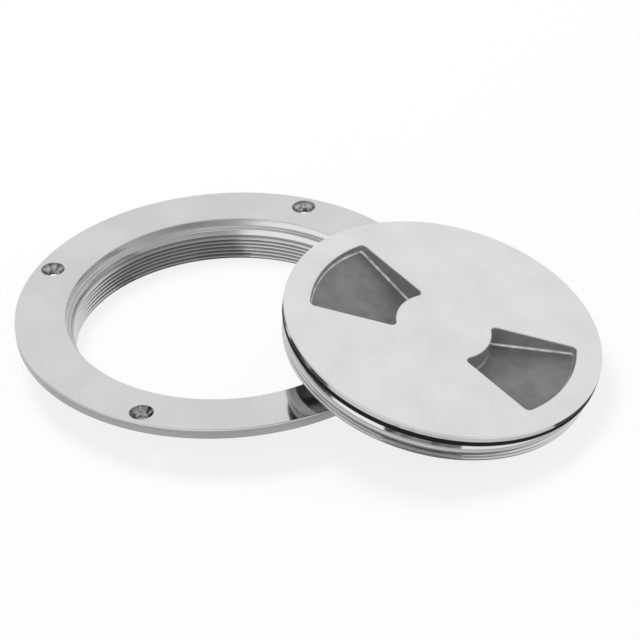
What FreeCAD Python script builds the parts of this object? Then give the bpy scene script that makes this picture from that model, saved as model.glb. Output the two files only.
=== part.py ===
import FreeCAD, Part
import math
import os

from FreeCAD import Placement, Rotation, Vector

# Screw-in deck inspection plate in millimetres: the deck ring, the screw lid and the lid's seal.
# Origin: on the ring's axis, in the plane of the deck under the ring's flange. +Z is up, out of the deck.
# +X points towards the lid, which is taken off and leans on the ring's flange.
# The lid is built upright about Z with its flat top at height 0, and laid in its resting place at the end.

# Deck ring, sized outwards from its thread
thread_root_radius = 51.4     # bottom of the ring's groove, which sets the size of the opening
flange_width = 16.9           # recess to the outside of the flange
flange_thickness = 3.5        # deck to the flange's polished top
flange_round = 0.4            # rounding of the flange's outer top edge
ring_height = 15.2            # flange top to the foot of the neck
recess_chamfer = 0.2          # broken edge at the top of the recess
seal_room = 0.53              # radial room for the seal inside the recess
thread_relief = 0.2           # how far the plain wall over the thread lies outside the thread's root
plain_wall_depth = 5.7        # flange top to the end of the plain wall
neck_wall = 1.9               # metal left outside the roots of the ring's thread
neck_foot_chamfer = 0.5       # outside edge of the neck's foot
neck_lead = 0.15              # how far the chamfer inside the foot goes past the thread's root
collar_wall = 2.2             # metal left outside and under the recess
collar_cone = 2.5             # height of the cone from the collar down to the neck

# Screw holes, countersunk at 90 degrees
screw_count = 4
screw_inset = 5.8             # outside of the flange to the middle of a hole
screw_hole_radius = 2.15
screw_head_radius = 4.0       # mouth of the countersink

# Thread of the ring and the lid, right-handed
thread_pitch = 1.41
thread_root_flat = 0.2        # width of a groove's flat bottom
thread_crest_flat = 0.2285    # width of the flat top between two turns of the groove
thread_flank = 30.0           # slope of a groove's sides from the horizontal, in degrees
thread_play = 0.2             # radial play between the lid's thread and the ring's
ring_groove_azimuth = 205.4   # where the ring's groove is level with the end of the plain wall, in degrees
lid_groove_azimuth = 219.7    # where the lid's groove is level with the end of its neck, in degrees

# Screw lid
rim_play = 0.45               # radial play between the lid's rim and the recess
rim_thickness = 1.85
rim_round = 0.35              # rounding of the lid's top edge
lid_height = 12.2             # lid's top to the foot of its skirt
lid_neck_play = 0.4           # radial play between the lid's neck and the crests of the ring's thread
lid_thread_length = 5.1       # threaded end of the skirt
skirt_lead = 0.45             # how far the foot's chamfer goes inside the thread's root
skirt_wall = 2.5              # metal behind the lid's neck
skirt_fillet = 1.5            # inside corner between the skirt and the plate
plate_thickness = 2.6         # metal under the lid's flat top
hub_radius = 15.9             # round hub between the finger pockets
hub_wall = 2.7                # metal round the hub's hollow
hub_depth = 11.6              # lid's top to the foot of the hub

# Finger pockets in the lid's top, fan-shaped, with a floor that rises outwards
pocket_count = 2
pocket_margin = 3.75          # inside of the skirt to a pocket's outer wall
pocket_half_width = 19.35     # at the outer corners
pocket_side_angle = 18.8      # lean of each side from the pocket's centre line, in degrees
pocket_corner_radius = 1.6
pocket_floor_fillet = 1.0
pocket_hub_depth = 6.8        # depth at the hub
pocket_rim_depth = 2.1        # depth at the outer wall
pocket_wall = 2.2             # metal round and under a pocket
pocket_azimuth = -3.5         # direction of the first pocket in the lid, in degrees

# Seal, a rubber ring round the lid's neck
seal_section = 2.4            # diameter of its round section
seal_squeeze = 0.3            # share of the section that is pressed flat when the lid is home
seal_play = 0.02              # keeps the loose ring just clear of the metal

# Resting place of the lid, which stands on its foot and leans on the flange's edge
lid_overhang = 7.9            # outside of the flange to the middle of the lid's top
lid_azimuth = 0.45            # direction of the lid from the ring, in degrees
lean_play = 0.05              # between the lid's underside and the flange's edge

# Sizes that follow
thread_slope = math.tan(math.radians(thread_flank))
thread_height = (thread_pitch - thread_root_flat - thread_crest_flat) / 2.0 / thread_slope
crest_radius = thread_root_radius - thread_height
lid_crest_radius = thread_root_radius - thread_play
lid_root_radius = crest_radius - thread_play
lid_neck_radius = crest_radius - lid_neck_play
lid_neck_end = lid_thread_length - lid_height
lid_foot_radius = lid_root_radius - skirt_lead
skirt_inner_radius = lid_neck_radius - skirt_wall
hub_core_radius = hub_radius - hub_wall
seal_radius = seal_section / 2.0
seal_centre_radius = lid_neck_radius + seal_play + seal_radius
seal_centre_height = -rim_thickness - seal_play - seal_radius
recess_radius = seal_centre_radius + seal_radius + seal_room
rim_radius = recess_radius - rim_play
flange_radius = recess_radius + flange_width
screw_circle_radius = flange_radius - screw_inset
flange_top = flange_thickness
neck_foot = flange_top - ring_height
ledge = flange_top - rim_thickness - seal_section * (1.0 - seal_squeeze)
seal_wall_radius = thread_root_radius + thread_relief
plain_wall_end = flange_top - plain_wall_depth
neck_radius = thread_root_radius + neck_wall
collar_radius = recess_radius + collar_wall
collar_foot = ledge - collar_wall
lid_reach = flange_radius + lid_overhang
pocket_outer_radius = skirt_inner_radius - pocket_margin
pocket_reach = math.sqrt(pocket_outer_radius ** 2 - pocket_half_width ** 2)
pocket_slope = (pocket_hub_depth - pocket_rim_depth) / (pocket_outer_radius - hub_radius)

axis = Vector(0, 0, 1)
centre = Vector(0, 0, 0)
clear_of = 1.0                # how far a cutting shape stands out of what it cuts
same_length = 1e-4            # lengths closer than this are equal
tilt_accuracy = 1e-6          # degrees


def outline(corners):
    """Closed outline in the XZ plane; a corner is (x, z) or (x, z, radius of its rounding)."""
    edges = []
    ends = []
    count = len(corners)
    for i in range(count):
        here = Vector(corners[i][0], 0, corners[i][1])
        to_last = Vector(corners[i - 1][0], 0, corners[i - 1][1]) - here
        to_next = Vector(corners[(i + 1) % count][0], 0, corners[(i + 1) % count][1]) - here
        if len(corners[i]) == 2:
            ends.append((here, here))
            continue
        half_angle = to_last.getAngle(to_next) / 2.0
        run = corners[i][2] / math.tan(half_angle)
        start = here + to_last.normalize() * run
        end = here + to_next.normalize() * run
        inward = (to_last + to_next).normalize()
        middle = here + inward * (corners[i][2] / math.sin(half_angle) - corners[i][2])
        ends.append((start, end))
        edges.append(Part.Arc(start, middle, end).toShape())
    for i in range(count):
        edges.append(Part.LineSegment(ends[i - 1][1], ends[i][0]).toShape())
    return Part.Face(Part.Wire(Part.__sortEdges__(edges)))


def turned(corners):
    """Solid turned about Z from an outline of radii and heights."""
    return outline(corners).revolve(centre, axis, 360.0)


def slab(points, lift, along):
    """Prism from points in one plane, moved by lift and drawn out along a vector."""
    moved = [point + lift for point in points]
    return Part.Face(Part.makePolygon(moved + moved[:1])).extrude(along)


def thread_groove(root, crest, low, high, level, azimuth):
    """Helical cutter from a root radius to past a crest radius, level at a height on one azimuth."""
    side = thread_root_flat / 2.0
    mouth = (thread_pitch - thread_crest_flat / 2.0) / 2.0
    past = root + math.copysign((mouth - side) / thread_slope, crest - root)
    start = low + (level - low) % thread_pitch - thread_pitch
    section = [(root, side), (past, mouth), (past, -mouth), (root, -side)]
    points = [Vector(radius, 0, start + height) for radius, height in section]
    path = []
    for i in range(math.ceil((high - start) / thread_pitch)):
        turn = Part.makeHelix(thread_pitch, thread_pitch, (root + crest) / 2.0)
        turn.translate(Vector(0, 0, start + thread_pitch * i))
        path += turn.Edges
    sweep = Part.BRepOffsetAPI.MakePipeShell(Part.Wire(path))
    sweep.setBiNormalMode(axis)
    sweep.add(Part.makePolygon(points + points[:1]))
    sweep.build()
    sweep.makeSolid()
    groove = sweep.shape()
    groove.rotate(centre, axis, azimuth)
    return groove


def build_ring():
    foot_radius = thread_root_radius + neck_lead
    body = turned([
        (foot_radius, neck_foot),
        (neck_radius - neck_foot_chamfer, neck_foot),
        (neck_radius, neck_foot + neck_foot_chamfer),
        (neck_radius, collar_foot - collar_cone),
        (collar_radius, collar_foot),
        (collar_radius, 0.0),
        (flange_radius, 0.0),
        (flange_radius, flange_top, flange_round),
        (recess_radius + recess_chamfer, flange_top),
        (recess_radius, flange_top - recess_chamfer),
        (recess_radius, ledge),
        (seal_wall_radius, ledge),
        (seal_wall_radius, plain_wall_end),
        (crest_radius, plain_wall_end - (seal_wall_radius - crest_radius) * thread_slope),
        (crest_radius, neck_foot + foot_radius - crest_radius),
    ])
    for i in range(screw_count):
        body = body.cut(screw_hole(360.0 / screw_count * i))
    groove = thread_groove(
        thread_root_radius, crest_radius, neck_foot - thread_pitch, plain_wall_end + thread_pitch,
        plain_wall_end, ring_groove_azimuth)
    return body.cut(groove)


def screw_hole(angle):
    """Through hole with a countersink whose mouth is level with the flange's top."""
    head_depth = screw_head_radius - screw_hole_radius
    hole = turned([
        (0.0, -clear_of),
        (screw_hole_radius, -clear_of),
        (screw_hole_radius, flange_top - head_depth),
        (screw_head_radius + clear_of, flange_top + clear_of),
        (0.0, flange_top + clear_of),
    ])
    hole.translate(Vector(screw_circle_radius, 0, 0))
    hole.rotate(centre, axis, angle)
    return hole


def fan(inner_radius, outer_radius, extra_width, extra_depth):
    """Fan along +X between two radii, wider and deeper than a pocket by the given amounts."""
    lean = math.radians(pocket_side_angle)
    ends = (inner_radius / 2.0, outer_radius + clear_of)
    widths = [
        pocket_half_width + (x - pocket_reach) * math.tan(lean) + extra_width / math.cos(lean) for x in ends
    ]
    floors = [-pocket_rim_depth - extra_depth - (pocket_outer_radius - x) * pocket_slope for x in ends]
    plan = [
        Vector(ends[0], -widths[0], 0),
        Vector(ends[1], -widths[1], 0),
        Vector(ends[1], widths[1], 0),
        Vector(ends[0], widths[0], 0),
    ]
    side_view = [
        Vector(ends[0], 0, clear_of),
        Vector(ends[0], 0, floors[0]),
        Vector(ends[1], 0, floors[1]),
        Vector(ends[1], 0, clear_of),
    ]
    reach = max(widths) + clear_of
    wedge = slab(plan, Vector(0, 0, -lid_height), Vector(0, 0, lid_height + clear_of))
    floor = slab(side_view, Vector(0, -reach, 0), Vector(0, 2.0 * reach, 0))
    band = turned([
        (inner_radius, -lid_height),
        (outer_radius, -lid_height),
        (outer_radius, clear_of),
        (inner_radius, clear_of),
    ])
    return wedge.common(floor).common(band)


def pocket_cavity():
    """Space of one finger pocket, with rounded corners and a filleted floor."""
    block = fan(hub_radius, pocket_outer_radius, 0.0, 0.0)
    corners = [e for e in block.Edges if abs(e.BoundBox.ZLength - e.Length) < same_length]
    block = block.makeFillet(pocket_corner_radius, corners).Solids[0]
    rim = [e for e in block.Edges if e.BoundBox.ZMax < 0.0]
    return block.makeFillet(pocket_floor_fillet, rim)


def build_lid():
    lead = lid_crest_radius - lid_foot_radius
    body = turned([
        (0.0, 0.0),
        (rim_radius, 0.0, rim_round),
        (rim_radius, -rim_thickness),
        (lid_neck_radius, -rim_thickness),
        (lid_neck_radius, lid_neck_end),
        (lid_crest_radius, lid_neck_end - (lid_crest_radius - lid_neck_radius)),
        (lid_crest_radius, lead - lid_height),
        (lid_foot_radius, -lid_height),
        (skirt_inner_radius, -lid_height),
        (skirt_inner_radius, -plate_thickness, skirt_fillet),
        (hub_radius, -plate_thickness),
        (hub_radius, -hub_depth),
        (hub_core_radius, -hub_depth),
        (hub_core_radius, -plate_thickness),
        (0.0, -plate_thickness),
    ])
    inside = turned([
        (0.0, -lid_height),
        (skirt_inner_radius, -lid_height),
        (skirt_inner_radius, -plate_thickness / 2.0),
        (0.0, -plate_thickness / 2.0),
    ])
    for i in range(pocket_count):
        angle = pocket_azimuth + 360.0 / pocket_count * i
        box = fan(hub_radius - hub_wall / 2.0, skirt_inner_radius, pocket_wall, pocket_wall).common(inside)
        box.rotate(centre, axis, angle)
        body = body.fuse(box)
    for i in range(pocket_count):
        cavity = pocket_cavity()
        cavity.rotate(centre, axis, pocket_azimuth + 360.0 / pocket_count * i)
        body = body.cut(cavity)
    body = body.removeSplitter()
    groove = thread_groove(
        lid_root_radius, lid_crest_radius, -lid_height - thread_pitch, lid_neck_end + thread_pitch,
        lid_neck_end, lid_groove_azimuth)
    return body.cut(groove)


def build_seal():
    return Part.makeTorus(seal_centre_radius, seal_radius, Vector(0, 0, seal_centre_height), axis)


def underside(x, y):
    """Depth of the lid's underside below its top, at a place in the lid."""
    reach = math.hypot(x, y)
    if hub_core_radius <= reach <= hub_radius:
        return hub_depth
    if skirt_inner_radius <= reach <= lid_foot_radius:
        return lid_height
    lean = math.radians(pocket_side_angle)
    for i in range(pocket_count):
        angle = math.radians(pocket_azimuth + 360.0 / pocket_count * i)
        along = x * math.cos(angle) + y * math.sin(angle)
        across = abs(y * math.cos(angle) - x * math.sin(angle))
        box_half_width = pocket_half_width + (along - pocket_reach) * math.tan(lean)
        box_half_width += pocket_wall / math.cos(lean)
        if hub_radius < reach < skirt_inner_radius and along > 0.0 and across < box_half_width:
            return pocket_rim_depth + pocket_wall + (pocket_outer_radius - along) * pocket_slope
    return plate_thickness


def resting_place(tilt):
    """Place of the lid when its foot stands level with the ring's and its top leans away from the ring."""
    lean = math.radians(tilt)
    height = neck_foot + lid_height * math.cos(lean) + lid_foot_radius * math.sin(lean)
    turn = Rotation(axis, lid_azimuth).multiply(Rotation(Vector(0, 1, 0), tilt))
    middle = Rotation(axis, lid_azimuth).multVec(Vector(lid_reach, 0, height))
    return Placement(middle, turn)


def lean_gap(tilt, samples=720):
    """Smallest gap, along the lid's axis, between its underside and the rounded edge of the flange."""
    lid_place = resting_place(tilt)
    to_lid = lid_place.inverse()
    edge_radius = flange_radius - flange_round
    gaps = []
    for i in range(samples):
        angle = math.radians(lid_azimuth + 180.0 * i / samples - 90.0)
        spoke = Vector(math.cos(angle), math.sin(angle), 0)
        middle = spoke * edge_radius + axis * (flange_top - flange_round)
        spot = to_lid.multVec(middle) + axis * flange_round
        if math.hypot(spot.x, spot.y) < lid_foot_radius:
            gaps.append(-underside(spot.x, spot.y) - spot.z)
    return min(gaps)


def find_tilt():
    """Tilt at which the lid comes to rest on the flange's edge, found by halving."""
    low, high = 1.0, 45.0
    while high - low > tilt_accuracy:
        tilt = (low + high) / 2.0
        if lean_gap(tilt) < lean_play:
            low = tilt
        else:
            high = tilt
    return high


def main():
    os.makedirs("parts", exist_ok=True)
    tilt = find_tilt()
    place = resting_place(tilt)
    lid = build_lid()
    lid.Placement = place
    seal = build_seal()
    seal.Placement = place.multiply(seal.Placement)
    pieces = {"deck_ring": build_ring(), "screw_lid": lid, "seal_ring": seal}
    for name, shape in pieces.items():
        shape.exportStep("parts/" + name + ".step")
        print(name, "solids", len(shape.Solids), "valid", shape.isValid(), "volume", round(shape.Volume, 1))
    print("lid tilt", round(tilt, 3), "lid place", place)


main()
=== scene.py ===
import bmesh
import bpy
import math
from mathutils import Matrix, Vector


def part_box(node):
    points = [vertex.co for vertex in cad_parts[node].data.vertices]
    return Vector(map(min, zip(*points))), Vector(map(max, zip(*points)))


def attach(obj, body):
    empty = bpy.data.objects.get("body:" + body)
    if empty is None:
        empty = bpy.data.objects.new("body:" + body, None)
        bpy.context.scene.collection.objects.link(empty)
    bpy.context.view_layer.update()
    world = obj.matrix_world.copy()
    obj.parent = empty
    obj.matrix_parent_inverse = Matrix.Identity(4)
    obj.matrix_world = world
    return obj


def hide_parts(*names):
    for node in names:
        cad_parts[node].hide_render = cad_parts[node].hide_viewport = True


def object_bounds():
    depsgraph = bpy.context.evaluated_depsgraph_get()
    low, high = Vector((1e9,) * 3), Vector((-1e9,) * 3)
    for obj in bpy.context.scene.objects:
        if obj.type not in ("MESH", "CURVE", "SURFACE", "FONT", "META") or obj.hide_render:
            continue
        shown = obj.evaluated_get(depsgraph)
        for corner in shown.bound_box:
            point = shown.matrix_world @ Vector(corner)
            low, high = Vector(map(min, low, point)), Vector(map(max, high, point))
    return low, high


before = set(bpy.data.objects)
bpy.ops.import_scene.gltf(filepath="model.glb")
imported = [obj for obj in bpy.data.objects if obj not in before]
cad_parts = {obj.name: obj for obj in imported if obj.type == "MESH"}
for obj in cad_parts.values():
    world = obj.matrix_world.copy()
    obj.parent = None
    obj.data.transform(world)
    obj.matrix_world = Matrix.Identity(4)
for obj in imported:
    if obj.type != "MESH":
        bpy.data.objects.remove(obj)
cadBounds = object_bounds()

# Sizes are in millimetres until a finished mesh is brought down to metres.
mm = 0.001
turnSteps = 512       # facets round the ring and the lid, fine enough for clean reflections
roundSegments = 4     # facets across a small rounded edge
mergeDistance = 1e-4  # vertices nearer than this are one
nearly = 0.01         # slack where faces are picked by height or radius, and where turns of thread meet
past = 1.0            # how far a cutter reaches past the metal
upright = Matrix.Identity(4)
zAxis = Vector((0.0, 0.0, 1.0))
origin = Vector((0.0, 0.0, 0.0))

ringLow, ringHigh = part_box("deck_ring")
floorHeight = cadBounds[0].z
flangeRadius = (ringHigh.x - ringLow.x) / 2.0 / mm
flangeTop = ringHigh.z / mm
neckFoot = ringLow.z / mm

thread = {
    "pitch": 1.41,
    "rootFlat": 0.2,       # width of a groove's flat bottom
    "crestFlat": 0.2285,   # width of the flat top between two turns
    "flank": 30.0,         # slope of a groove's sides, in degrees
    "rootRadius": 51.4,    # bottom of the ring's groove
    "play": 0.2,           # radial play between the lid's thread and the ring's
    "look": {
        # colour of the painted shade at the bottom of the grooves
        "grooveShade": "#5c5c5c",
        "colour": "#e2e2e2", "line": "#c8c8c8", "feed": 0.3, "stain": 15.0, "stained": 0.4,
        "depth": 0.15, "roughLow": 0.14, "roughHigh": 0.24,
    },
}
flankSlope = math.tan(math.radians(thread["flank"]))
threadHeight = (thread["pitch"] - thread["rootFlat"] - thread["crestFlat"]) / 2.0 / flankSlope
crestRadius = thread["rootRadius"] - threadHeight


def sectionOutline(bm, corners):
    # a closed outline in the XZ plane; a corner is (radius, height) or (radius, height, rounding)
    verts = [bm.verts.new((corner[0], 0.0, corner[1])) for corner in corners]
    for i in range(len(verts)):
        bm.edges.new((verts[i - 1], verts[i]))
    for vert, corner in zip(verts, corners):
        if len(corner) > 2:
            bmesh.ops.bevel(
                bm, geom=[vert], offset=corner[2], offset_type="OFFSET", affect="VERTICES",
                segments=roundSegments, profile=0.5, material=-1)


def turnedShape(corners, steps=turnSteps):
    bm = bmesh.new()
    sectionOutline(bm, corners)
    bmesh.ops.spin(
        bm, geom=bm.verts[:] + bm.edges[:], cent=origin, axis=zAxis, dvec=origin,
        angle=2.0 * math.pi, steps=steps, use_merge=True, use_normal_flip=False, use_duplicate=False)
    bmesh.ops.remove_doubles(bm, verts=bm.verts[:], dist=mergeDistance)
    bmesh.ops.recalc_face_normals(bm, faces=bm.faces[:])
    return bm


def threadCutter(root, crest, foot, top, level, azimuth):
    # groove section carried up a helix that is level with a given height on one azimuth
    pitch = thread["pitch"]
    side = thread["rootFlat"] / 2.0
    mouth = (pitch - thread["crestFlat"] / 2.0) / 2.0
    lip = root + math.copysign((mouth - side) / flankSlope, crest - root)
    start = foot + (level - foot) % pitch - pitch
    turns = math.ceil((top - start) / pitch)
    bm = bmesh.new()
    sectionOutline(bm, [
        (root, start + side), (lip, start + mouth), (lip, start - mouth), (root, start - side)])
    swing = Matrix.Rotation(math.radians(azimuth), 3, "Z")
    bmesh.ops.rotate(bm, verts=bm.verts[:], cent=origin, matrix=swing)
    bmesh.ops.spin(
        bm, geom=bm.verts[:] + bm.edges[:], cent=origin, axis=zAxis, dvec=zAxis * pitch / turnSteps,
        angle=2.0 * math.pi, steps=turnSteps, use_merge=False, use_normal_flip=False, use_duplicate=False)
    firstTurn = bm.verts[:] + bm.edges[:] + bm.faces[:]
    for i in range(1, turns):
        nextTurn = bmesh.ops.duplicate(bm, geom=firstTurn)["geom"]
        moved = [item for item in nextTurn if isinstance(item, bmesh.types.BMVert)]
        bmesh.ops.translate(bm, verts=moved, vec=zAxis * pitch * i)
    # the small steps of a turn add up to a slight error, so its end is merged loosely with the next start
    bmesh.ops.remove_doubles(bm, verts=bm.verts[:], dist=nearly)
    bmesh.ops.holes_fill(bm, edges=bm.edges[:], sides=4)
    bmesh.ops.recalc_face_normals(bm, faces=bm.faces[:])
    return bm


def sweepArc(bm, vert, centre, angle, steps):
    # draws an arc from a vertex about a centre and returns its last vertex
    swung = bmesh.ops.spin(
        bm, geom=[vert], cent=centre, axis=zAxis, dvec=origin, angle=angle, steps=steps,
        use_merge=False, use_normal_flip=False, use_duplicate=False)
    return next(item for item in swung["geom_last"] if isinstance(item, bmesh.types.BMVert))


def asObject(name, bm, materials=()):
    mesh = bpy.data.meshes.new(name)
    bm.to_mesh(mesh)
    bm.free()
    piece = bpy.data.objects.new(name, mesh)
    bpy.context.scene.collection.objects.link(piece)
    for material in materials:
        mesh.materials.append(material)
    return piece


def cutWith(piece, cutterShape, materialIndex, operation="DIFFERENCE"):
    # new faces take the material that the cutter's faces point at in the piece's list
    for face in cutterShape.faces:
        face.material_index = materialIndex
    cutter = asObject("cutter", cutterShape, piece.data.materials[:])
    modifier = piece.modifiers.new("cut", "BOOLEAN")
    modifier.object = cutter
    modifier.operation = operation
    modifier.solver = "MANIFOLD"
    modifier.material_mode = "INDEX"
    depsgraph = bpy.context.evaluated_depsgraph_get()
    depsgraph.update()
    cut = bpy.data.meshes.new_from_object(piece.evaluated_get(depsgraph))
    piece.modifiers.clear()
    piece.data = cut
    bpy.data.objects.remove(cutter)


def finishPiece(piece, node, place=upright, sharpAngle=28.0, flatAngle=0.05):
    # cleans the mesh, joins the bits of each flat, puts the piece in its place in metres, and shades it
    bm = bmesh.new()
    bm.from_mesh(piece.data)
    bmesh.ops.remove_doubles(bm, verts=bm.verts[:], dist=mergeDistance * 2.0)
    bmesh.ops.dissolve_limit(
        bm, angle_limit=math.radians(flatAngle), use_dissolve_boundaries=False,
        verts=bm.verts[:], edges=bm.edges[:], delimit={"MATERIAL"})
    bmesh.ops.transform(bm, verts=bm.verts[:], matrix=Matrix.Scale(mm, 4) @ place)
    bm.to_mesh(piece.data)
    bm.free()
    piece.data.shade_smooth()
    piece.data.set_sharp_from_angle(angle=math.radians(sharpAngle))
    weighted = piece.modifiers.new("flatFlats", "WEIGHTED_NORMAL")
    weighted.mode = "FACE_AREA"
    weighted.keep_sharp = True
    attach(piece, "root")
    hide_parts(node)
    print(piece.name, "faces", len(piece.data.polygons))


def linear(hexColour):
    parts = [int(hexColour[i:i + 2], 16) / 255.0 for i in (1, 3, 5)]
    return [c / 12.92 if c <= 0.04045 else ((c + 0.055) / 1.055) ** 2.4 for c in parts] + [1.0]


def addNode(tree, kind, inputs=None, output=0, **settings):
    # adds a node, sets its properties, links or sets its inputs by name or number, and gives one output
    node = tree.nodes.new("ShaderNode" + kind)
    for name, value in settings.items():
        setattr(node, name, value)
    for name, value in (inputs or {}).items():
        if isinstance(value, bpy.types.NodeSocket):
            tree.links.new(value, node.inputs[name])
        else:
            node.inputs[name].default_value = value
    return node.outputs[output] if node.outputs else None


def newMaterial(name):
    material = bpy.data.materials.new(name)
    material.use_nodes = True
    material.node_tree.nodes.clear()
    return material, material.node_tree


def localPoint(tree, place):
    # object coordinates brought into a piece's own upright position, still in metres
    return addNode(tree, "Mapping", {
        "Vector": addNode(tree, "TexCoord", output="Object"),
        "Location": place.to_translation() * mm,
        "Rotation": place.to_euler(),
    }, vector_type="TEXTURE")


# In the materials, the scale of a noise is one over the size of its features.

def polishedSteel(name, place, look):
    # Cast 316 stainless, machined flat and buffed: a bright mirror, clouded a little by hand polishing,
    # with faint wear blotches.
    material, tree = newMaterial(name)
    point = localPoint(tree, place)
    waveHeight = 0.02
    clouds = addNode(tree, "TexNoise", {"Vector": point, "Scale": 1.0 / (look["cloud"] * mm), "Detail": 4.0})
    blotches = addNode(tree, "TexNoise", {
        "Vector": point, "Scale": 1.0 / (look["blotch"] * mm), "Detail": 6.0, "Roughness": 0.62})
    clouded = addNode(tree, "MapRange", {"Value": clouds, "From Min": 0.35, "From Max": 0.65})
    worn = addNode(tree, "MapRange", {
        "Value": blotches, "From Min": 0.66, "From Max": 0.76, "To Max": look["wear"]})
    rough = addNode(tree, "MapRange", {
        "Value": blotches, "From Min": 0.3, "From Max": 0.7,
        "To Min": look["roughLow"], "To Max": look["roughHigh"]})
    colour = addNode(tree, "Mix", {
        0: clouded, 6: linear(look["colour"]), 7: linear(look["clouded"])}, output=2, data_type="RGBA")
    colour = addNode(tree, "Mix", {0: worn, 6: colour, 7: linear(look["worn"])}, output=2, data_type="RGBA")
    wave = addNode(tree, "Bump", {"Height": clouds, "Strength": look["wave"], "Distance": waveHeight * mm})
    shader = addNode(tree, "BsdfPrincipled", {
        "Base Color": colour, "Metallic": 1.0, "Roughness": rough, "Normal": wave})
    addNode(tree, "OutputMaterial", {"Surface": shader})
    return material


def turnedSteel(name, place, look, groove=None, holeReach=None):
    # The same steel as the lathe left it: fine lines that run round the axis, and a soft satin shine.
    # The real feed marks are about 0.1 mm apart, drawn wider so that they show.
    # A thread's groove, given as (crest radius, root radius, strength), is painted darker towards its root:
    # painted shade in the groove.
    # With the reach of the screw holes given, the lines run round each hole instead.
    material, tree = newMaterial(name)
    point = localPoint(tree, place)
    lineHeight = 0.05
    first, second, height = addNode(tree, "SeparateXYZ", {"Vector": point}).node.outputs
    if holeReach:
        first = addNode(tree, "Math", {0: first}, operation="ABSOLUTE")
        second = addNode(tree, "Math", {0: second}, operation="ABSOLUTE")
        far = addNode(tree, "Math", {0: first, 1: second}, operation="MAXIMUM")
        second = addNode(tree, "Math", {0: first, 1: second}, operation="MINIMUM")
        first = addNode(tree, "Math", {0: far, 1: holeReach * mm}, operation="SUBTRACT")
    flat = addNode(tree, "CombineXYZ", {"X": first, "Y": second})
    reach = addNode(tree, "VectorMath", {0: flat}, output="Value", operation="LENGTH")
    across = addNode(tree, "Math", {0: reach, 1: height}, operation="ADD")
    feed = addNode(tree, "TexNoise", {
        "W": across, "Scale": 1.0 / (look["feed"] * mm), "Detail": 3.0}, noise_dimensions="1D")
    stains = addNode(tree, "TexNoise", {"Vector": point, "Scale": 1.0 / (look["stain"] * mm), "Detail": 3.0})
    lined = addNode(tree, "MapRange", {"Value": feed, "From Min": 0.3, "From Max": 0.7})
    stained = addNode(tree, "MapRange", {
        "Value": stains, "From Min": 0.4, "From Max": 0.7, "To Max": look["stained"]})
    rough = addNode(tree, "MapRange", {
        "Value": stains, "From Min": 0.3, "From Max": 0.7,
        "To Min": look["roughLow"], "To Max": look["roughHigh"]})
    line = linear(look["line"])
    colour = addNode(tree, "Mix", {0: lined, 6: linear(look["colour"]), 7: line}, output=2, data_type="RGBA")
    colour = addNode(tree, "Mix", {0: stained, 6: colour, 7: line}, output=2, data_type="RGBA")
    if groove:
        crest, root, strength = groove
        # painted shade: darker from the crest towards the root of the groove
        grooveShade = addNode(tree, "MapRange", {
            "Value": reach, "From Min": crest * mm, "From Max": root * mm, "To Max": strength})
        colour = addNode(tree, "Mix", {
            0: grooveShade, 6: colour, 7: linear(look["grooveShade"])}, output=2, data_type="RGBA")
    lines = addNode(tree, "Bump", {"Height": feed, "Strength": look["depth"], "Distance": lineHeight * mm})
    shader = addNode(tree, "BsdfPrincipled", {
        "Base Color": colour, "Metallic": 1.0, "Roughness": rough, "Normal": lines})
    addNode(tree, "OutputMaterial", {"Surface": shader})
    return material


def castSteel(name, place, look):
    # The same steel with its cast skin, only shot blasted: dull grey, grainy and a little blotchy.
    material, tree = newMaterial(name)
    point = localPoint(tree, place)
    grainHeight = 0.15
    blotches = addNode(tree, "TexNoise", {
        "Vector": point, "Scale": 1.0 / (look["blotch"] * mm), "Detail": 5.0, "Roughness": 0.6})
    grains = addNode(tree, "TexNoise", {"Vector": point, "Scale": 1.0 / (look["grain"] * mm), "Detail": 2.0})
    pale = addNode(tree, "MapRange", {"Value": blotches, "From Min": 0.35, "From Max": 0.68})
    rough = addNode(tree, "MapRange", {
        "Value": grains, "From Min": 0.3, "From Max": 0.7,
        "To Min": look["roughLow"], "To Max": look["roughHigh"]})
    colour = addNode(tree, "Mix", {
        0: pale, 6: linear(look["dark"]), 7: linear(look["light"])}, output=2, data_type="RGBA")
    skin = addNode(tree, "Bump", {"Height": grains, "Strength": look["depth"], "Distance": grainHeight * mm})
    shader = addNode(tree, "BsdfPrincipled", {
        "Base Color": colour, "Metallic": 1.0, "Roughness": rough, "Normal": skin})
    addNode(tree, "OutputMaterial", {"Surface": shader})
    return material


def sealRubber(name, place, look):
    # Moulded black nitrile rubber: a dull sheen and faint pale dusting.
    material, tree = newMaterial(name)
    point = localPoint(tree, place)
    dustHeight = 0.05
    dust = addNode(tree, "TexNoise", {"Vector": point, "Scale": 1.0 / (look["dust"] * mm), "Detail": 4.0})
    dusted = addNode(tree, "MapRange", {"Value": dust, "From Min": 0.45, "From Max": 0.75})
    colour = addNode(tree, "Mix", {
        0: dusted, 6: linear(look["colour"]), 7: linear(look["dusted"])}, output=2, data_type="RGBA")
    skin = addNode(tree, "Bump", {"Height": dust, "Strength": look["depth"], "Distance": dustHeight * mm})
    shader = addNode(tree, "BsdfPrincipled", {
        "Base Color": colour, "Roughness": look["rough"], "Specular IOR Level": look["shine"],
        "Normal": skin})
    addNode(tree, "OutputMaterial", {"Surface": shader})
    return material


# camera at the photograph's own viewing angle
camera = {
    "place": (460.7, -906.34, 689.42),
    "heading": 25.2,      # degrees from +Y towards -X
    "down": 34.318,       # degrees below the horizon
    "roll": -2.992,
    "lens": 208.3,
    "sensor": 36.0,
    "nearest": 10.0,
    "farthest": 20000.0,
}


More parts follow.
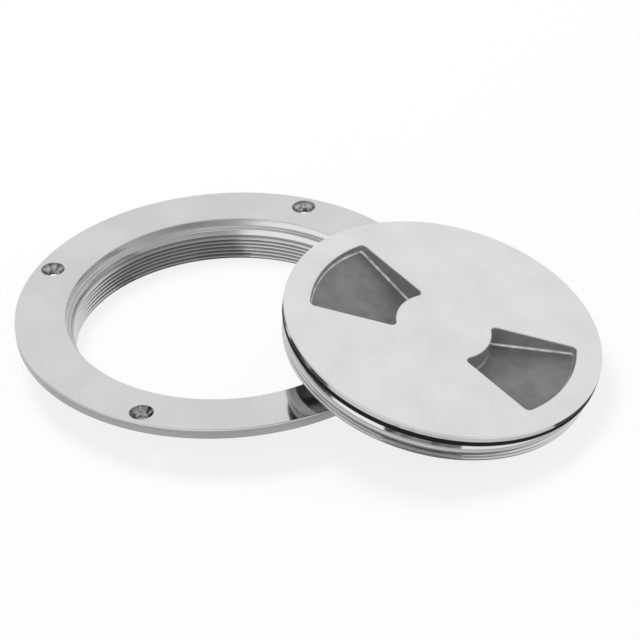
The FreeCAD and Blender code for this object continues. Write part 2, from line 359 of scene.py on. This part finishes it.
def makeCamera():
    data = bpy.data.cameras.new("camera")
    data.sensor_width = camera["sensor"]
    data.lens = camera["lens"]
    data.clip_start = camera["nearest"] * mm
    data.clip_end = camera["farthest"] * mm
    view = bpy.data.objects.new("camera", data)
    bpy.context.scene.collection.objects.link(view)
    turn = Matrix.Rotation(math.radians(camera["heading"]), 4, "Z")
    tip = Matrix.Rotation(math.radians(90.0 - camera["down"]), 4, "X")
    roll = Matrix.Rotation(math.radians(camera["roll"]), 4, "Z")
    view.matrix_world = Matrix.Translation(Vector(camera["place"]) * mm) @ turn @ tip @ roll
    bpy.context.scene.camera = view


# studio: a pale floor, a white room and one large soft lamp
studio = {
    "floorSize": 6000.0,
    "floorColour": "#fafafa",
    "floorLift": 0.82,                     # share of plain white, as the camera and the metal see it
    "roomFill": 0.5,                       # white room, as diffuse surfaces see it
    "lampPlace": (-640.0, 370.0, 1430.0),
    "lampSize": 700.0,
    "lampPower": 15.0,
}
# dark part of the ceiling, as the metal sees it; an edge is a direction, and where along it the dark
# begins and is full
ceiling = {
    "shade": 0.4,
    "edges": [
        ((1.0, 0.0, 0.0), (-0.4, -0.3)),
        ((-1.0, 0.0, 0.0), (-0.62, -0.54)),
        ((0.0, -1.0, 0.0), (-0.56, -0.46)),
        ((0.385, 0.923, 0.0), (-0.16, -0.125)),
    ],
}
cardSteps = 12
# dark cards that only the metal sees, painted shade round the object that shows only in its reflections:
# middle, heights over the floor at the inner and outer edge, then rows of (inner radius, outer radius, from
# and to in degrees, shade)
cards = {
    "insideRing": ((0.0, 0.0), (0.05, 0.05), [
        (20.0, 34.6, 113.0, 122.0, 0.22),
        (34.6, 37.7, 112.5, 122.0, 0.5),
        (37.7, 41.0, 112.0, 122.0, 0.32),
        (41.0, 46.0, 109.5, 124.0, 0.32),
        (46.0, 50.4, 106.5, 126.0, 0.32),
        (20.0, 34.6, 122.0, 138.0, 0.24),
        (34.6, 37.7, 122.0, 138.0, 0.5),
        (37.7, 41.0, 122.0, 138.0, 0.4),
        (41.0, 46.0, 124.0, 146.0, 0.42),
        (46.0, 50.4, 126.0, 152.0, 0.42),
        (20.0, 41.0, 138.0, 178.0, 0.2),
        (41.0, 46.0, 146.0, 160.0, 0.38),
        (41.0, 46.0, 160.0, 178.0, 0.6),
        (46.0, 50.4, 152.0, 160.0, 0.16),
        (46.0, 50.4, 160.0, 178.0, 0.5),
    ]),
    "underLid": ((0.0, 0.0), (0.05, 0.05), [
        (20.0, 50.4, 203.0, 287.0, 0.06),
    ]),
    "besideRing": ((0.0, 0.0), (58.0, 106.0), [
        (130.0, 130.0, 203.0, 240.0, 0.1),
    ]),
    "pastLid": ((78.0, 0.6), (0.05, 0.05), [
        (50.0, 72.0, -17.0, 25.0, 0.1),
    ]),
    "beforeLid": ((89.5, -24.0), (0.05, 0.05), [
        (20.0, 48.5, 247.0, 258.0, 0.25),
        (48.5, 55.5, 247.0, 258.0, 0.05),
        (20.0, 43.0, 258.0, 268.0, 0.25),
        (43.0, 50.0, 258.0, 268.0, 0.15),
        (20.0, 38.5, 268.0, 280.0, 0.22),
        (38.5, 44.0, 268.0, 280.0, 0.25),
        (20.0, 35.0, 280.0, 292.0, 0.2),
        (35.0, 40.0, 280.0, 292.0, 0.1),
        (20.0, 31.5, 292.0, 304.0, 0.3),
        (31.5, 36.5, 292.0, 304.0, 0.15),
    ]),
}


def makeCards():
    for name, (middle, rise, rows) in cards.items():
        for i, (inner, outer, start, end, shade) in enumerate(rows):
            bm = bmesh.new()
            spoke = [bm.verts.new((inner, 0.0, rise[0])), bm.verts.new((outer, 0.0, rise[1]))]
            bm.edges.new(spoke)
            swing = Matrix.Rotation(math.radians(start), 3, "Z")
            bmesh.ops.rotate(bm, verts=bm.verts[:], cent=origin, matrix=swing)
            bmesh.ops.spin(
                bm, geom=bm.verts[:] + bm.edges[:], cent=origin, axis=zAxis, dvec=origin,
                angle=math.radians(end - start), steps=cardSteps, use_merge=False, use_normal_flip=False,
                use_duplicate=False)
            bmesh.ops.translate(bm, verts=bm.verts[:], vec=(middle[0], middle[1], floorHeight / mm))
            bmesh.ops.scale(bm, verts=bm.verts[:], vec=(mm, mm, mm))
            cardMaterial, tree = newMaterial("darkCard")
            dark = addNode(tree, "Emission", {"Strength": shade})
            addNode(tree, "OutputMaterial", {"Surface": dark})
            card = asObject(name + str(i), bm, [cardMaterial])
            card.visible_camera = False
            card.visible_diffuse = False
            card.visible_shadow = False
            card.visible_transmission = False


def makeStudio():
    bm = bmesh.new()
    bmesh.ops.create_grid(bm, x_segments=1, y_segments=1, size=studio["floorSize"] / 2.0 * mm)
    bmesh.ops.translate(bm, verts=bm.verts[:], vec=(0.0, 0.0, floorHeight))
    floorMaterial, tree = newMaterial("paleFloor")
    pale = addNode(tree, "BsdfDiffuse", {"Color": linear(studio["floorColour"])})
    white = addNode(tree, "Emission", {"Strength": 1.0})
    cameraRay = addNode(tree, "LightPath", output="Is Camera Ray")
    glossyRay = addNode(tree, "LightPath", output="Is Glossy Ray")
    seen = addNode(tree, "Math", {0: cameraRay, 1: glossyRay}, operation="MAXIMUM", use_clamp=True)
    share = addNode(tree, "MapRange", {"Value": seen, "To Max": studio["floorLift"]})
    mixed = addNode(tree, "MixShader", {0: share, 1: pale, 2: white})
    addNode(tree, "OutputMaterial", {"Surface": mixed})
    floor = asObject("floor", bm, [floorMaterial])

    world = bpy.data.worlds.new("room")
    bpy.context.scene.world = world
    world.use_nodes = True
    tree = world.node_tree
    tree.nodes.clear()
    cameraRay = addNode(tree, "LightPath", output="Is Camera Ray")
    clearRay = addNode(tree, "LightPath", output="Is Transmission Ray")
    glossyRay = addNode(tree, "LightPath", output="Is Glossy Ray")
    seen = addNode(tree, "Math", {0: cameraRay, 1: clearRay}, operation="MAXIMUM", use_clamp=True)
    plain = addNode(tree, "MapRange", {"Value": seen, "To Min": studio["roomFill"]})
    toward = addNode(tree, "TexCoord", output="Generated")
    dark = 1.0
    for direction, (begin, full) in ceiling["edges"]:
        along = addNode(tree, "VectorMath", {
            0: toward, 1: Vector(direction)}, output="Value", operation="DOT_PRODUCT")
        within = addNode(tree, "MapRange", {"Value": along, "From Min": begin, "From Max": full})
        dark = addNode(tree, "Math", {0: dark, 1: within}, operation="MULTIPLY")
    mirrored = addNode(tree, "MapRange", {"Value": dark, "To Min": 1.0, "To Max": ceiling["shade"]})
    strength = addNode(tree, "Mix", {0: glossyRay, 2: plain, 3: mirrored}, data_type="FLOAT")
    white = addNode(tree, "Background", {"Color": (1.0, 1.0, 1.0, 1.0), "Strength": strength})
    addNode(tree, "OutputWorld", {"Surface": white})

    lamp = bpy.data.lights.new("softLamp", "AREA")
    lamp.shape = "DISK"
    lamp.size = studio["lampSize"] * mm
    lamp.energy = studio["lampPower"]
    hung = bpy.data.objects.new("softLamp", lamp)
    bpy.context.scene.collection.objects.link(hung)
    hung.location = Vector(studio["lampPlace"]) * mm
    hung.rotation_euler = (-hung.location).to_track_quat("-Z", "Y").to_euler()
    hung.visible_glossy = False            # the metal mirrors the room, not the lamp's own disk
    bpy.context.scene.view_settings.view_transform = "Standard"


# deck ring, flat on its neck; looks are in the order of the material slots
ring = {
    "flangeWidth": 16.9,       # recess to the outside of the flange
    "flangeRound": 0.4,
    "footRound": 0.3,          # underside edge of the flange
    "recessRound": 0.25,
    "recessDepth": 3.53,       # flange top to the ledge
    "ledgeRound": 0.15,
    "sealWallRadius": 51.6,
    "plainWallDepth": 5.7,
    "neckWall": 1.9,
    "neckChamfer": 0.5,
    "neckLead": 0.15,
    "collarWall": 2.2,
    "collarCone": 2.5,
    "grooveAzimuth": 205.4,
    "grooveShade": 0.6,            # how dark the painted shade at the bottom of the thread's groove is
    "holeCount": 4,
    "holeInset": 5.8,          # outside of the flange to the middle of a hole
    "holeRadius": 2.15,
    "headRadius": 4.0,
    "holeSteps": 96,
    "looks": {
        "top": {
            "colour": "#d2d2d2", "clouded": "#cbcbcb", "worn": "#b9b9b9", "cloud": 22.0, "blotch": 7.0,
            "wear": 0.25, "roughLow": 0.06, "roughHigh": 0.13, "wave": 0.05,
        },
        "edge": {
            "colour": "#acacac", "line": "#989898", "feed": 0.5, "stain": 25.0, "stained": 0.5,
            "depth": 0.15, "roughLow": 0.22, "roughHigh": 0.3,
        },
        "recess": {
            "colour": "#efefef", "line": "#dedede", "feed": 0.4, "stain": 20.0, "stained": 0.3,
            "depth": 0.2, "roughLow": 0.12, "roughHigh": 0.22,
        },
        "thread": thread["look"],
        "under": {
            "colour": "#b4b4b4", "line": "#9c9c9c", "feed": 0.6, "stain": 20.0, "stained": 0.5,
            "depth": 0.3, "roughLow": 0.3, "roughHigh": 0.4,
        },
        # in the countersinks the turning lines and stains are drawn wide and nearly black: turning marks,
        # and painted reflection streaks on the cones
        "hole": {
            "colour": "#cccccc", "line": "#3c3c3c", "feed": 1.5, "stain": 1.6, "stained": 0.7,
            "depth": 0.7, "roughLow": 0.08, "roughHigh": 0.2,
        },
        "ledge": {
            "colour": "#cccccc", "line": "#b4b4b4", "feed": 0.3, "stain": 20.0, "stained": 0.3,
            "depth": 0.2, "roughLow": 0.3, "roughHigh": 0.4,
        },
    },
}


def makeRing():
    looks = ring["looks"]
    slots = list(looks)
    recess = flangeRadius - ring["flangeWidth"]
    ledge = flangeTop - ring["recessDepth"]
    wallEnd = flangeTop - ring["plainWallDepth"]
    sealWall = ring["sealWallRadius"]
    neck = thread["rootRadius"] + ring["neckWall"]
    foot = thread["rootRadius"] + ring["neckLead"]
    holeReach = flangeRadius - ring["holeInset"]
    collar = recess + ring["collarWall"]
    outside = recess + ring["collarWall"] / 2.0
    collarFoot = ledge - ring["collarWall"]
    shape = turnedShape([
        (foot, neckFoot),
        (neck - ring["neckChamfer"], neckFoot),
        (neck, neckFoot + ring["neckChamfer"]),
        (neck, collarFoot - ring["collarCone"]),
        (collar, collarFoot),
        (collar, 0.0),
        (flangeRadius, 0.0, ring["footRound"]),
        (flangeRadius, flangeTop, ring["flangeRound"]),
        (recess, flangeTop, ring["recessRound"]),
        (recess, ledge, ring["ledgeRound"]),
        (sealWall, ledge, ring["ledgeRound"]),
        (sealWall, wallEnd),
        (crestRadius, wallEnd - (sealWall - crestRadius) * flankSlope),
        (crestRadius, neckFoot + foot - crestRadius),
    ])
    for face in shape.faces:
        middle = face.calc_center_median()
        reach = math.hypot(middle.x, middle.y)
        if middle.z > flangeTop - ring["flangeRound"] and reach > recess:
            finish = "top"
        elif abs(middle.z - ledge) < nearly and sealWall < reach < recess:
            finish = "ledge"
        elif reach > flangeRadius - ring["footRound"]:
            finish = "edge"
        elif reach > neck or middle.z < neckFoot + nearly:
            finish = "under" if middle.z <= nearly or reach > outside else "recess"
        else:
            finish = "recess" if middle.z > wallEnd else "thread"
        face.material_index = slots.index(finish)
    groove = (crestRadius, thread["rootRadius"], ring["grooveShade"])
    piece = asObject("deckRing", shape, [
        polishedSteel("buffedSteelRing", upright, looks["top"]),
        turnedSteel("satinSteelEdge", upright, looks["edge"]),
        turnedSteel("turnedSteelRecess", upright, looks["recess"]),
        turnedSteel("turnedSteelRingThread", upright, looks["thread"], groove),
        turnedSteel("turnedSteelUnderside", upright, looks["under"]),
        turnedSteel("drilledSteel", upright, looks["hole"], holeReach=holeReach),
        turnedSteel("turnedSteelLedge", upright, looks["ledge"]),
    ])
    cutWith(piece, threadCutter(
        thread["rootRadius"], crestRadius, neckFoot - thread["pitch"], wallEnd + thread["pitch"],
        wallEnd, ring["grooveAzimuth"]), slots.index("thread"))
    drill = bmesh.new()
    for i in range(ring["holeCount"]):
        one = turnedShape([
            (0.0, -past),
            (ring["holeRadius"], -past),
            (ring["holeRadius"], flangeTop - ring["headRadius"] + ring["holeRadius"]),
            (ring["headRadius"] + past, flangeTop + past),
            (0.0, flangeTop + past),
        ], ring["holeSteps"])
        bmesh.ops.translate(one, verts=one.verts[:], vec=(holeReach, 0.0, 0.0))
        turn = Matrix.Rotation(2.0 * math.pi * i / ring["holeCount"], 3, "Z")
        bmesh.ops.rotate(one, verts=one.verts[:], cent=origin, matrix=turn)
        joined = bpy.data.meshes.new("drill")
        one.to_mesh(joined)
        one.free()
        drill.from_mesh(joined)
        bpy.data.meshes.remove(joined)
    cutWith(piece, drill, slots.index("hole"))
    finishPiece(piece, "deck_ring")


# screw lid, built upright with its flat top at height 0 and then laid in its resting place
lid = {
    "rimRadius": 52.65,
    "rimThickness": 1.85,
    "rimRound": 0.35,
    "rimFootRound": 0.15,
    "height": 12.2,
    "neckPlay": 0.4,          # radial play between the neck and the crests of the ring's thread
    "threadLength": 5.1,
    "skirtLead": 0.45,
    "skirtWall": 2.5,
    "skirtFillet": 1.5,
    "plateThickness": 2.6,
    "hubRadius": 15.9,
    "hubWall": 2.7,
    "hubDepth": 11.6,
    "grooveAzimuth": 219.7,
    "reach": 77.9,            # ring's axis to the middle of the lid's top
    "azimuth": 0.45,
    "tilt": 15.0914,
    "grooveShade": 0.5,           # how dark the painted shade at the bottom of the thread's groove is
    "looks": {
        "top": {
            "colour": "#dedede", "clouded": "#d8d8d8", "worn": "#c4c4c4", "cloud": 18.0, "blotch": 6.0,
            "wear": 0.25, "roughLow": 0.08, "roughHigh": 0.16, "wave": 0.05,
        },
        "rim": {
            "colour": "#cbcbcb", "line": "#b4b4b4", "feed": 0.4, "stain": 20.0, "stained": 0.3,
            "depth": 0.1, "roughLow": 0.12, "roughHigh": 0.2,
        },
        "neck": {
            "colour": "#f2f2f2", "line": "#e0e0e0", "feed": 0.5, "stain": 20.0, "stained": 0.3,
            "depth": 0.1, "roughLow": 0.08, "roughHigh": 0.16,
        },
        "thread": thread["look"],
        "cast": {
            "dark": "#8a8a8a", "light": "#a2a2a2", "blotch": 9.0, "grain": 0.5,
            "depth": 0.5, "roughLow": 0.42, "roughHigh": 0.55,
        },
        "pocket": {
            "dark": "#8a8a8a", "light": "#9a9a9a", "blotch": 6.0, "grain": 0.45,
            "depth": 0.4, "roughLow": 0.55, "roughHigh": 0.68,
        },
        # the pocket walls are painted lighter than the floor of the same cast steel: painted light on the
        # walls
        "pocketWall": {
            "dark": "#b2b2b2", "light": "#c4c4c4", "blotch": 6.0, "grain": 0.45,
            "depth": 0.3, "roughLow": 0.45, "roughHigh": 0.6,
        },
        # the fillet at the foot of a pocket's walls is painted lighter than the floor: a painted highlight
        # along it
        "pocketFillet": {
            "dark": "#9c9c9c", "light": "#dcdcdc", "blotch": 4.0, "grain": 0.45,
            "depth": 0.2, "roughLow": 0.32, "roughHigh": 0.46,
        },
    },
}
pocket = {
    "count": 2,
    "outerRadius": 43.9,
    "halfWidth": 19.35,       # at the outer corners
    "sideAngle": 18.8,
    "cornerRadius": 1.6,
    "floorFillet": 1.0,
    "hubDepth": 6.8,
    "rimDepth": 2.1,
    "mouthRound": 0.25,
    "wall": 2.2,              # metal round and under a pocket
    "boxCorner": 0.6,
    "azimuth": -3.5,
    "arcSteps": {"outer": 24, "inner": 16, "corner": 8},
    "floorNormal": 0.85,      # a face with less of its normal upwards is not floor
    "wallNormal": 0.4,        # and with less than this it is wall, not fillet
}
pocketSlope = (pocket["hubDepth"] - pocket["rimDepth"]) / (pocket["outerRadius"] - lid["hubRadius"])
lidNeck = crestRadius - lid["neckPlay"]
lidCrest = thread["rootRadius"] - thread["play"]
lidRoot = crestRadius - thread["play"]
lidFoot = lidRoot - lid["skirtLead"]
skirtInner = lidNeck - lid["skirtWall"]
lean = math.radians(lid["tilt"])
lidTopHeight = neckFoot + lid["height"] * math.cos(lean) + lidFoot * math.sin(lean)
lidTurn = Matrix.Rotation(math.radians(lid["azimuth"]), 4, "Z")
lidPlace = lidTurn @ Matrix.Translation((lid["reach"], 0.0, lidTopHeight)) @ Matrix.Rotation(lean, 4, "Y")


def sideMeets(inset, radius):
    # where a pocket's straight side, moved inwards, crosses a circle about the lid's axis
    side = math.radians(pocket["sideAngle"])
    along = Vector((math.cos(side), math.sin(side), 0.0))
    outward = Vector((-math.sin(side), math.cos(side), 0.0))
    reach = math.sqrt(pocket["outerRadius"] ** 2 - pocket["halfWidth"] ** 2)
    spot = Vector((reach, pocket["halfWidth"], 0.0)) - outward * inset
    middle = spot.dot(along)
    return spot + along * (math.sqrt(middle ** 2 - spot.length_squared + radius ** 2) - middle)


def fanLoop(bm, inner, outer, corner, grow, height, tipped):
    # outline of a fan with rounded corners, wider all round by grow; a tipped one follows the pocket's floor
    side = math.radians(pocket["sideAngle"])
    outerCentre = sideMeets(corner, outer - corner)
    innerCentre = sideMeets(corner, inner + corner)
    outerAngle = math.atan2(outerCentre.y, outerCentre.x)
    innerAngle = math.atan2(innerCentre.y, innerCentre.x)
    across = math.pi / 2.0 + side
    steps = pocket["arcSteps"]
    known = set(bm.verts)
    vert = bm.verts.new((outer + grow, 0.0, 0.0))
    vert = sweepArc(bm, vert, origin, outerAngle, steps["outer"])
    vert = sweepArc(bm, vert, outerCentre, across - outerAngle, steps["corner"])
    outward = Vector((math.cos(across), math.sin(across), 0.0))
    nextVert = bm.verts.new(innerCentre + outward * (corner + grow))
    bm.edges.new((vert, nextVert))
    vert = sweepArc(bm, nextVert, innerCentre, math.pi + innerAngle - across, steps["corner"])
    sweepArc(bm, vert, origin, -innerAngle, steps["inner"])
    half = [v for v in bm.verts if v not in known]
    halfEdges = [e for e in bm.edges if e.verts[0] in half]
    bmesh.ops.mirror(bm, geom=half + halfEdges, matrix=upright, merge_dist=mergeDistance, axis="Y")
    loop = [v for v in bm.verts if v not in known]
    for v in loop:
        v.co.z = height - (pocketSlope * (pocket["outerRadius"] - v.co.x) if tipped else 0.0)
    return [e for e in bm.edges if e.verts[0] in loop]


def fanSolid(inner, outer, corner, levels):
    # fan built up from outlines, each given as (grow, height, tipped)
    bm = bmesh.new()
    loops = [fanLoop(bm, inner, outer, corner, *level) for level in levels]
    for upper, lower in zip(loops, loops[1:]):
        bmesh.ops.bridge_loops(bm, edges=upper + lower)
    bmesh.ops.contextual_create(bm, geom=loops[0])
    bmesh.ops.contextual_create(bm, geom=loops[-1])
    bmesh.ops.recalc_face_normals(bm, faces=bm.faces[:])
    return bm


def pocketCavity():
    mouth = pocket["mouthRound"]
    fillet = pocket["floorFillet"]
    quarter = [math.radians(90.0 * i / roundSegments) for i in range(roundSegments + 1)]
    filletTop = fillet - pocket["rimDepth"]
    levels = [(mouth, past, False)]
    levels += [(mouth - mouth * math.sin(a), mouth * math.cos(a) - mouth, False) for a in quarter]
    levels += [(fillet * math.cos(a) - fillet, filletTop - fillet * math.sin(a), True) for a in quarter]
    return fanSolid(lid["hubRadius"], pocket["outerRadius"], pocket["cornerRadius"], levels)


def pocketBox():
    wall = pocket["wall"]
    inner = lid["hubRadius"] - lid["hubWall"] / 2.0 + wall
    outer = skirtInner + lid["skirtWall"] / 2.0 - wall
    bottom = -pocket["rimDepth"] - wall
    corner = pocket["boxCorner"]
    knuckle = corner * 0.3    # how far the middle of a rounding stands in from both its sides
    levels = [
        (wall, -lid["plateThickness"] / 2.0, False),
        (wall, bottom + corner, True),
        (wall - knuckle, bottom + knuckle, True),
        (wall - corner, bottom, True),
    ]
    return fanSolid(inner, outer, pocket["cornerRadius"], levels)


def aroundLid(shape):
    # copies of a shape about the lid's axis, one for each pocket
    whole = bmesh.new()
    mesh = bpy.data.meshes.new("pockets")
    shape.to_mesh(mesh)
    shape.free()
    for i in range(pocket["count"]):
        turned = mesh.copy()
        azimuth = pocket["azimuth"] + 360.0 / pocket["count"] * i
        turned.transform(Matrix.Rotation(math.radians(azimuth), 4, "Z"))
        whole.from_mesh(turned)
        bpy.data.meshes.remove(turned)
    bpy.data.meshes.remove(mesh)
    return whole


def makeLid():
    looks = lid["looks"]
    slots = list(looks)
    rim = lid["rimRadius"]
    neckEnd = lid["threadLength"] - lid["height"]
    shape = turnedShape([
        (0.0, 0.0),
        (rim, 0.0, lid["rimRound"]),
        (rim, -lid["rimThickness"], lid["rimFootRound"]),
        (lidNeck, -lid["rimThickness"]),
        (lidNeck, neckEnd),
        (lidCrest, neckEnd - (lidCrest - lidNeck)),
        (lidCrest, lidCrest - lidFoot - lid["height"]),
        (lidFoot, -lid["height"]),
        (skirtInner, -lid["height"]),
        (skirtInner, -lid["plateThickness"], lid["skirtFillet"]),
        (lid["hubRadius"], -lid["plateThickness"]),
        (lid["hubRadius"], -lid["hubDepth"]),
        (lid["hubRadius"] - lid["hubWall"], -lid["hubDepth"]),
        (lid["hubRadius"] - lid["hubWall"], -lid["plateThickness"]),
        (0.0, -lid["plateThickness"]),
    ])
    for face in shape.faces:
        middle = face.calc_center_median()
        reach = math.hypot(middle.x, middle.y)
        if middle.z > -lid["rimRound"]:
            finish = "top"
        elif reach > lidNeck + nearly and middle.z > neckEnd:
            finish = "rim"
        elif reach > lidNeck - nearly * 10.0 and middle.z > neckEnd - nearly:
            finish = "neck"
        elif reach > skirtInner + nearly * 10.0:
            finish = "thread"
        else:
            finish = "cast"
        face.material_index = slots.index(finish)
    groove = (lidCrest, lidRoot, lid["grooveShade"])
    piece = asObject("screwLid", shape, [
        polishedSteel("buffedSteelLid", lidPlace, looks["top"]),
        turnedSteel("turnedSteelRim", lidPlace, looks["rim"]),
        turnedSteel("turnedSteelNeck", lidPlace, looks["neck"]),
        turnedSteel("turnedSteelLidThread", lidPlace, looks["thread"], groove),
        castSteel("castSteelUnderside", lidPlace, looks["cast"]),
        castSteel("castSteelPocket", lidPlace, looks["pocket"]),
        castSteel("castSteelPocketWall", lidPlace, looks["pocketWall"]),
        castSteel("paintedHighlightPocketFillet", lidPlace, looks["pocketFillet"]),
    ])
    cutWith(piece, aroundLid(pocketBox()), slots.index("cast"), "UNION")
    cutWith(piece, aroundLid(pocketCavity()), slots.index("pocket"))
    for face in piece.data.polygons:
        if face.material_index == slots.index("pocket") and face.normal.z < pocket["floorNormal"]:
            rounded = face.normal.z > pocket["wallNormal"] and face.center.z < -pocket["mouthRound"]
            face.material_index = slots.index("pocketFillet" if rounded else "pocketWall")
    cutWith(piece, threadCutter(
        lidRoot, lidCrest, -lid["height"] - thread["pitch"], neckEnd + thread["pitch"],
        neckEnd, lid["grooveAzimuth"]), slots.index("thread"))
    finishPiece(piece, "screw_lid", lidPlace)


# seal, a rubber ring round the lid's neck under its rim
seal = {
    "section": 2.4,
    "play": 0.02,
    "sectionSteps": 28,
    "steps": 256,
    "sharpAngle": 60.0,
    "look": {
        "colour": "#0b0b0b", "dusted": "#181818", "dust": 0.8, "depth": 0.2, "rough": 0.55, "shine": 0.2,
    },
}


def makeSeal():
    radius = seal["section"] / 2.0
    bm = bmesh.new()
    bmesh.ops.create_circle(bm, radius=radius, segments=seal["sectionSteps"])
    bmesh.ops.rotate(bm, verts=bm.verts[:], cent=origin, matrix=Matrix.Rotation(math.pi / 2.0, 3, "X"))
    centre = (lidNeck + seal["play"] + radius, 0.0, -lid["rimThickness"] - seal["play"] - radius)
    bmesh.ops.translate(bm, verts=bm.verts[:], vec=centre)
    bmesh.ops.spin(
        bm, geom=bm.verts[:] + bm.edges[:], cent=origin, axis=zAxis, dvec=origin, angle=2.0 * math.pi,
        steps=seal["steps"], use_merge=True, use_normal_flip=False, use_duplicate=False)
    bmesh.ops.recalc_face_normals(bm, faces=bm.faces[:])
    piece = asObject("sealRing", bm, [sealRubber("nitrileRubber", lidPlace, seal["look"])])
    finishPiece(piece, "seal_ring", lidPlace, seal["sharpAngle"])


makeCamera()
print("camera ready")
makeStudio()
makeCards()
print("studio ready")
makeRing()
makeLid()
makeSeal()
